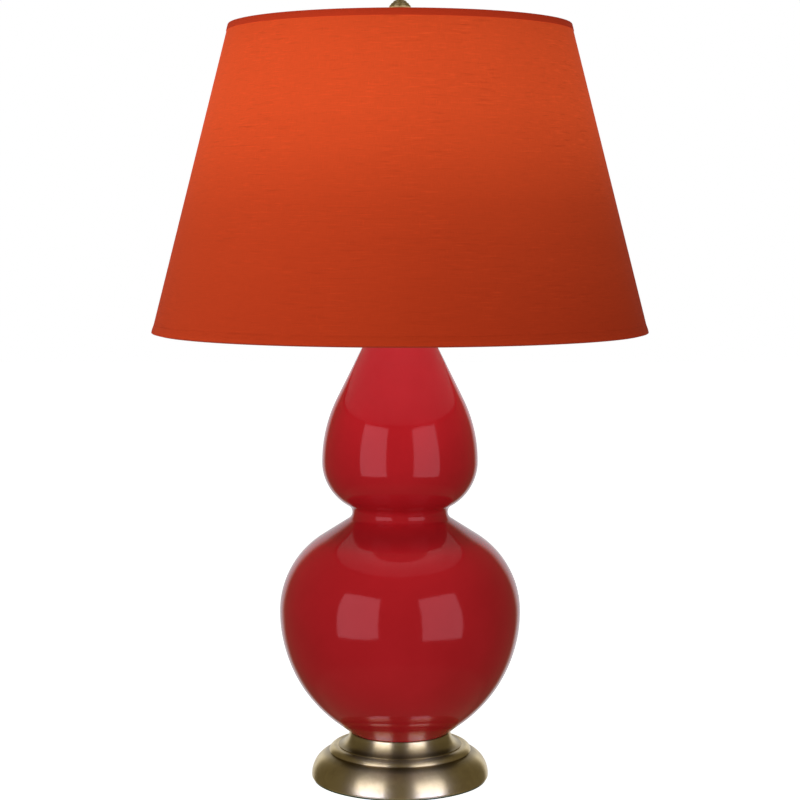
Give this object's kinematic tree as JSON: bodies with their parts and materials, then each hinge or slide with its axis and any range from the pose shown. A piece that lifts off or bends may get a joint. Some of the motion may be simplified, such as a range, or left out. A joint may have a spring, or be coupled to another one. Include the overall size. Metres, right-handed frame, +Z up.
{
  "type": "double gourd table lamp",
  "caption": "Table lamp with a glazed double gourd body on a turned brass base, under a cone shade of slub cloth carried by a harp and finial.",
  "frame": {"origin": "centre of the felt's underside, on the table", "axes": "+Z up along the lamp's axis, -Y toward the front where the switch knob points, +Y toward the back where the cord leaves the base"},
  "size_m": [0.4939, 0.494, 0.7825],
  "materials": {
    "red_glaze": "glossy oxblood red glaze, slightly uneven",
    "antique_brass": "spun brass, aged and hand rubbed, satin to bright on the edges",
    "holder_brass": "drawn brass, lacquered",
    "plated_wire": "brass plated steel wire, bright",
    "cast_iron": "sand cast, black primer",
    "zinc_steel": "zinc plated",
    "felt": "pressed wool felt",
    "seal_rubber": "soft black rubber",
    "black_plastic": "moulded, polished",
    "brown_phenolic": "moulded phenolic",
    "fibre_paper": "vulcanised fibre sheet",
    "slub_cloth": "orange red dupion with horizontal slubs, lit from inside",
    "hem_cloth": "the shade's cloth folded double at the edge",
    "opal_liner": "translucent styrene lining",
    "white_wire": "white powder coat",
    "opal_glass": "frosted inside",
    "clear_glass": "clear",
    "bulb_metal": "rolled thread, bright",
    "black_ceramic": "black glass insulator",
    "tungsten": "drawn wire"
  },
  "bodies": {
    "stand": {"felt_pad": "felt", "base_shell": "antique_brass", "base_weight": "cast_iron", "tube_nut": "zinc_steel", "lock_washer": "zinc_steel", "flat_washer": "zinc_steel", "cord_bushing": "black_plastic", "seat_seal": "seal_rubber", "gourd_body": "red_glaze", "threaded_tube": "zinc_steel", "vase_cap": "antique_brass", "neck_spindle": "antique_brass", "check_ring": "antique_brass", "harp_saddle": "plated_wire", "socket_cap": "holder_brass", "socket_setscrew": "zinc_steel", "socket_shell": "holder_brass", "insulating_sleeve": "fibre_paper", "socket_body": "brown_phenolic", "terminal_screws": "zinc_steel", "screw_shell": "holder_brass", "centre_contact": "holder_brass", "ring_contact": "holder_brass"},
    "switch": {"switch_stem": "holder_brass", "switch_knob": "black_plastic"},
    "bulb": {"bulb_glass": "opal_glass", "bulb_cap": "bulb_metal", "bulb_insulator": "black_ceramic", "bulb_contact": "bulb_metal", "bulb_stem": "clear_glass", "bulb_filament": "tungsten"},
    "harp": {"harp_loop": "plated_wire"},
    "sleeve_left": {"harp_sleeve_left": "plated_wire"},
    "sleeve_right": {"harp_sleeve_right": "plated_wire"},
    "stud": {"harp_stud": "plated_wire"},
    "shade": {"shade_cover": "slub_cloth", "shade_liner": "opal_liner", "top_ring": "white_wire", "bottom_ring": "white_wire", "top_binding": "hem_cloth", "bottom_binding": "hem_cloth", "spider_arms": "white_wire", "spider_hub": "white_wire"},
    "finial": {"finial": "antique_brass"}
  },
  "joints": [
    {"name": "switch_turn", "type": "hinge", "parent": "stand", "child": "switch", "pos_m": [0, -0.0218, 0.5325], "axis": [0, -1, 0], "continuous": true},
    {"name": "bulb_unscrew", "type": "slide", "parent": "stand", "child": "bulb", "axis": [0, 0, 1], "range_m": [0, 0.028]},
    {"name": "harp_lift", "type": "slide", "parent": "stand", "child": "harp", "axis": [0, 0, 1], "range_m": [0, 0.02]},
    {"name": "sleeve_left_lift", "type": "slide", "parent": "harp", "child": "sleeve_left", "axis": [0, 0, 1], "range_m": [0, 0.014]},
    {"name": "sleeve_right_lift", "type": "slide", "parent": "harp", "child": "sleeve_right", "axis": [0, 0, 1], "range_m": [0, 0.014]},
    {"name": "shade_swivel", "type": "hinge", "parent": "harp", "child": "stud", "pos_m": [0, 0, 0.7373], "axis": [0, 0, 1], "continuous": true},
    {"name": "shade_lift", "type": "slide", "parent": "stud", "child": "shade", "axis": [0, 0, 1], "range_m": [0, 0.31]},
    {"name": "finial_unscrew", "type": "slide", "parent": "shade", "child": "finial", "axis": [0, 0, 1], "range_m": [0, 0.008]}
  ]
}
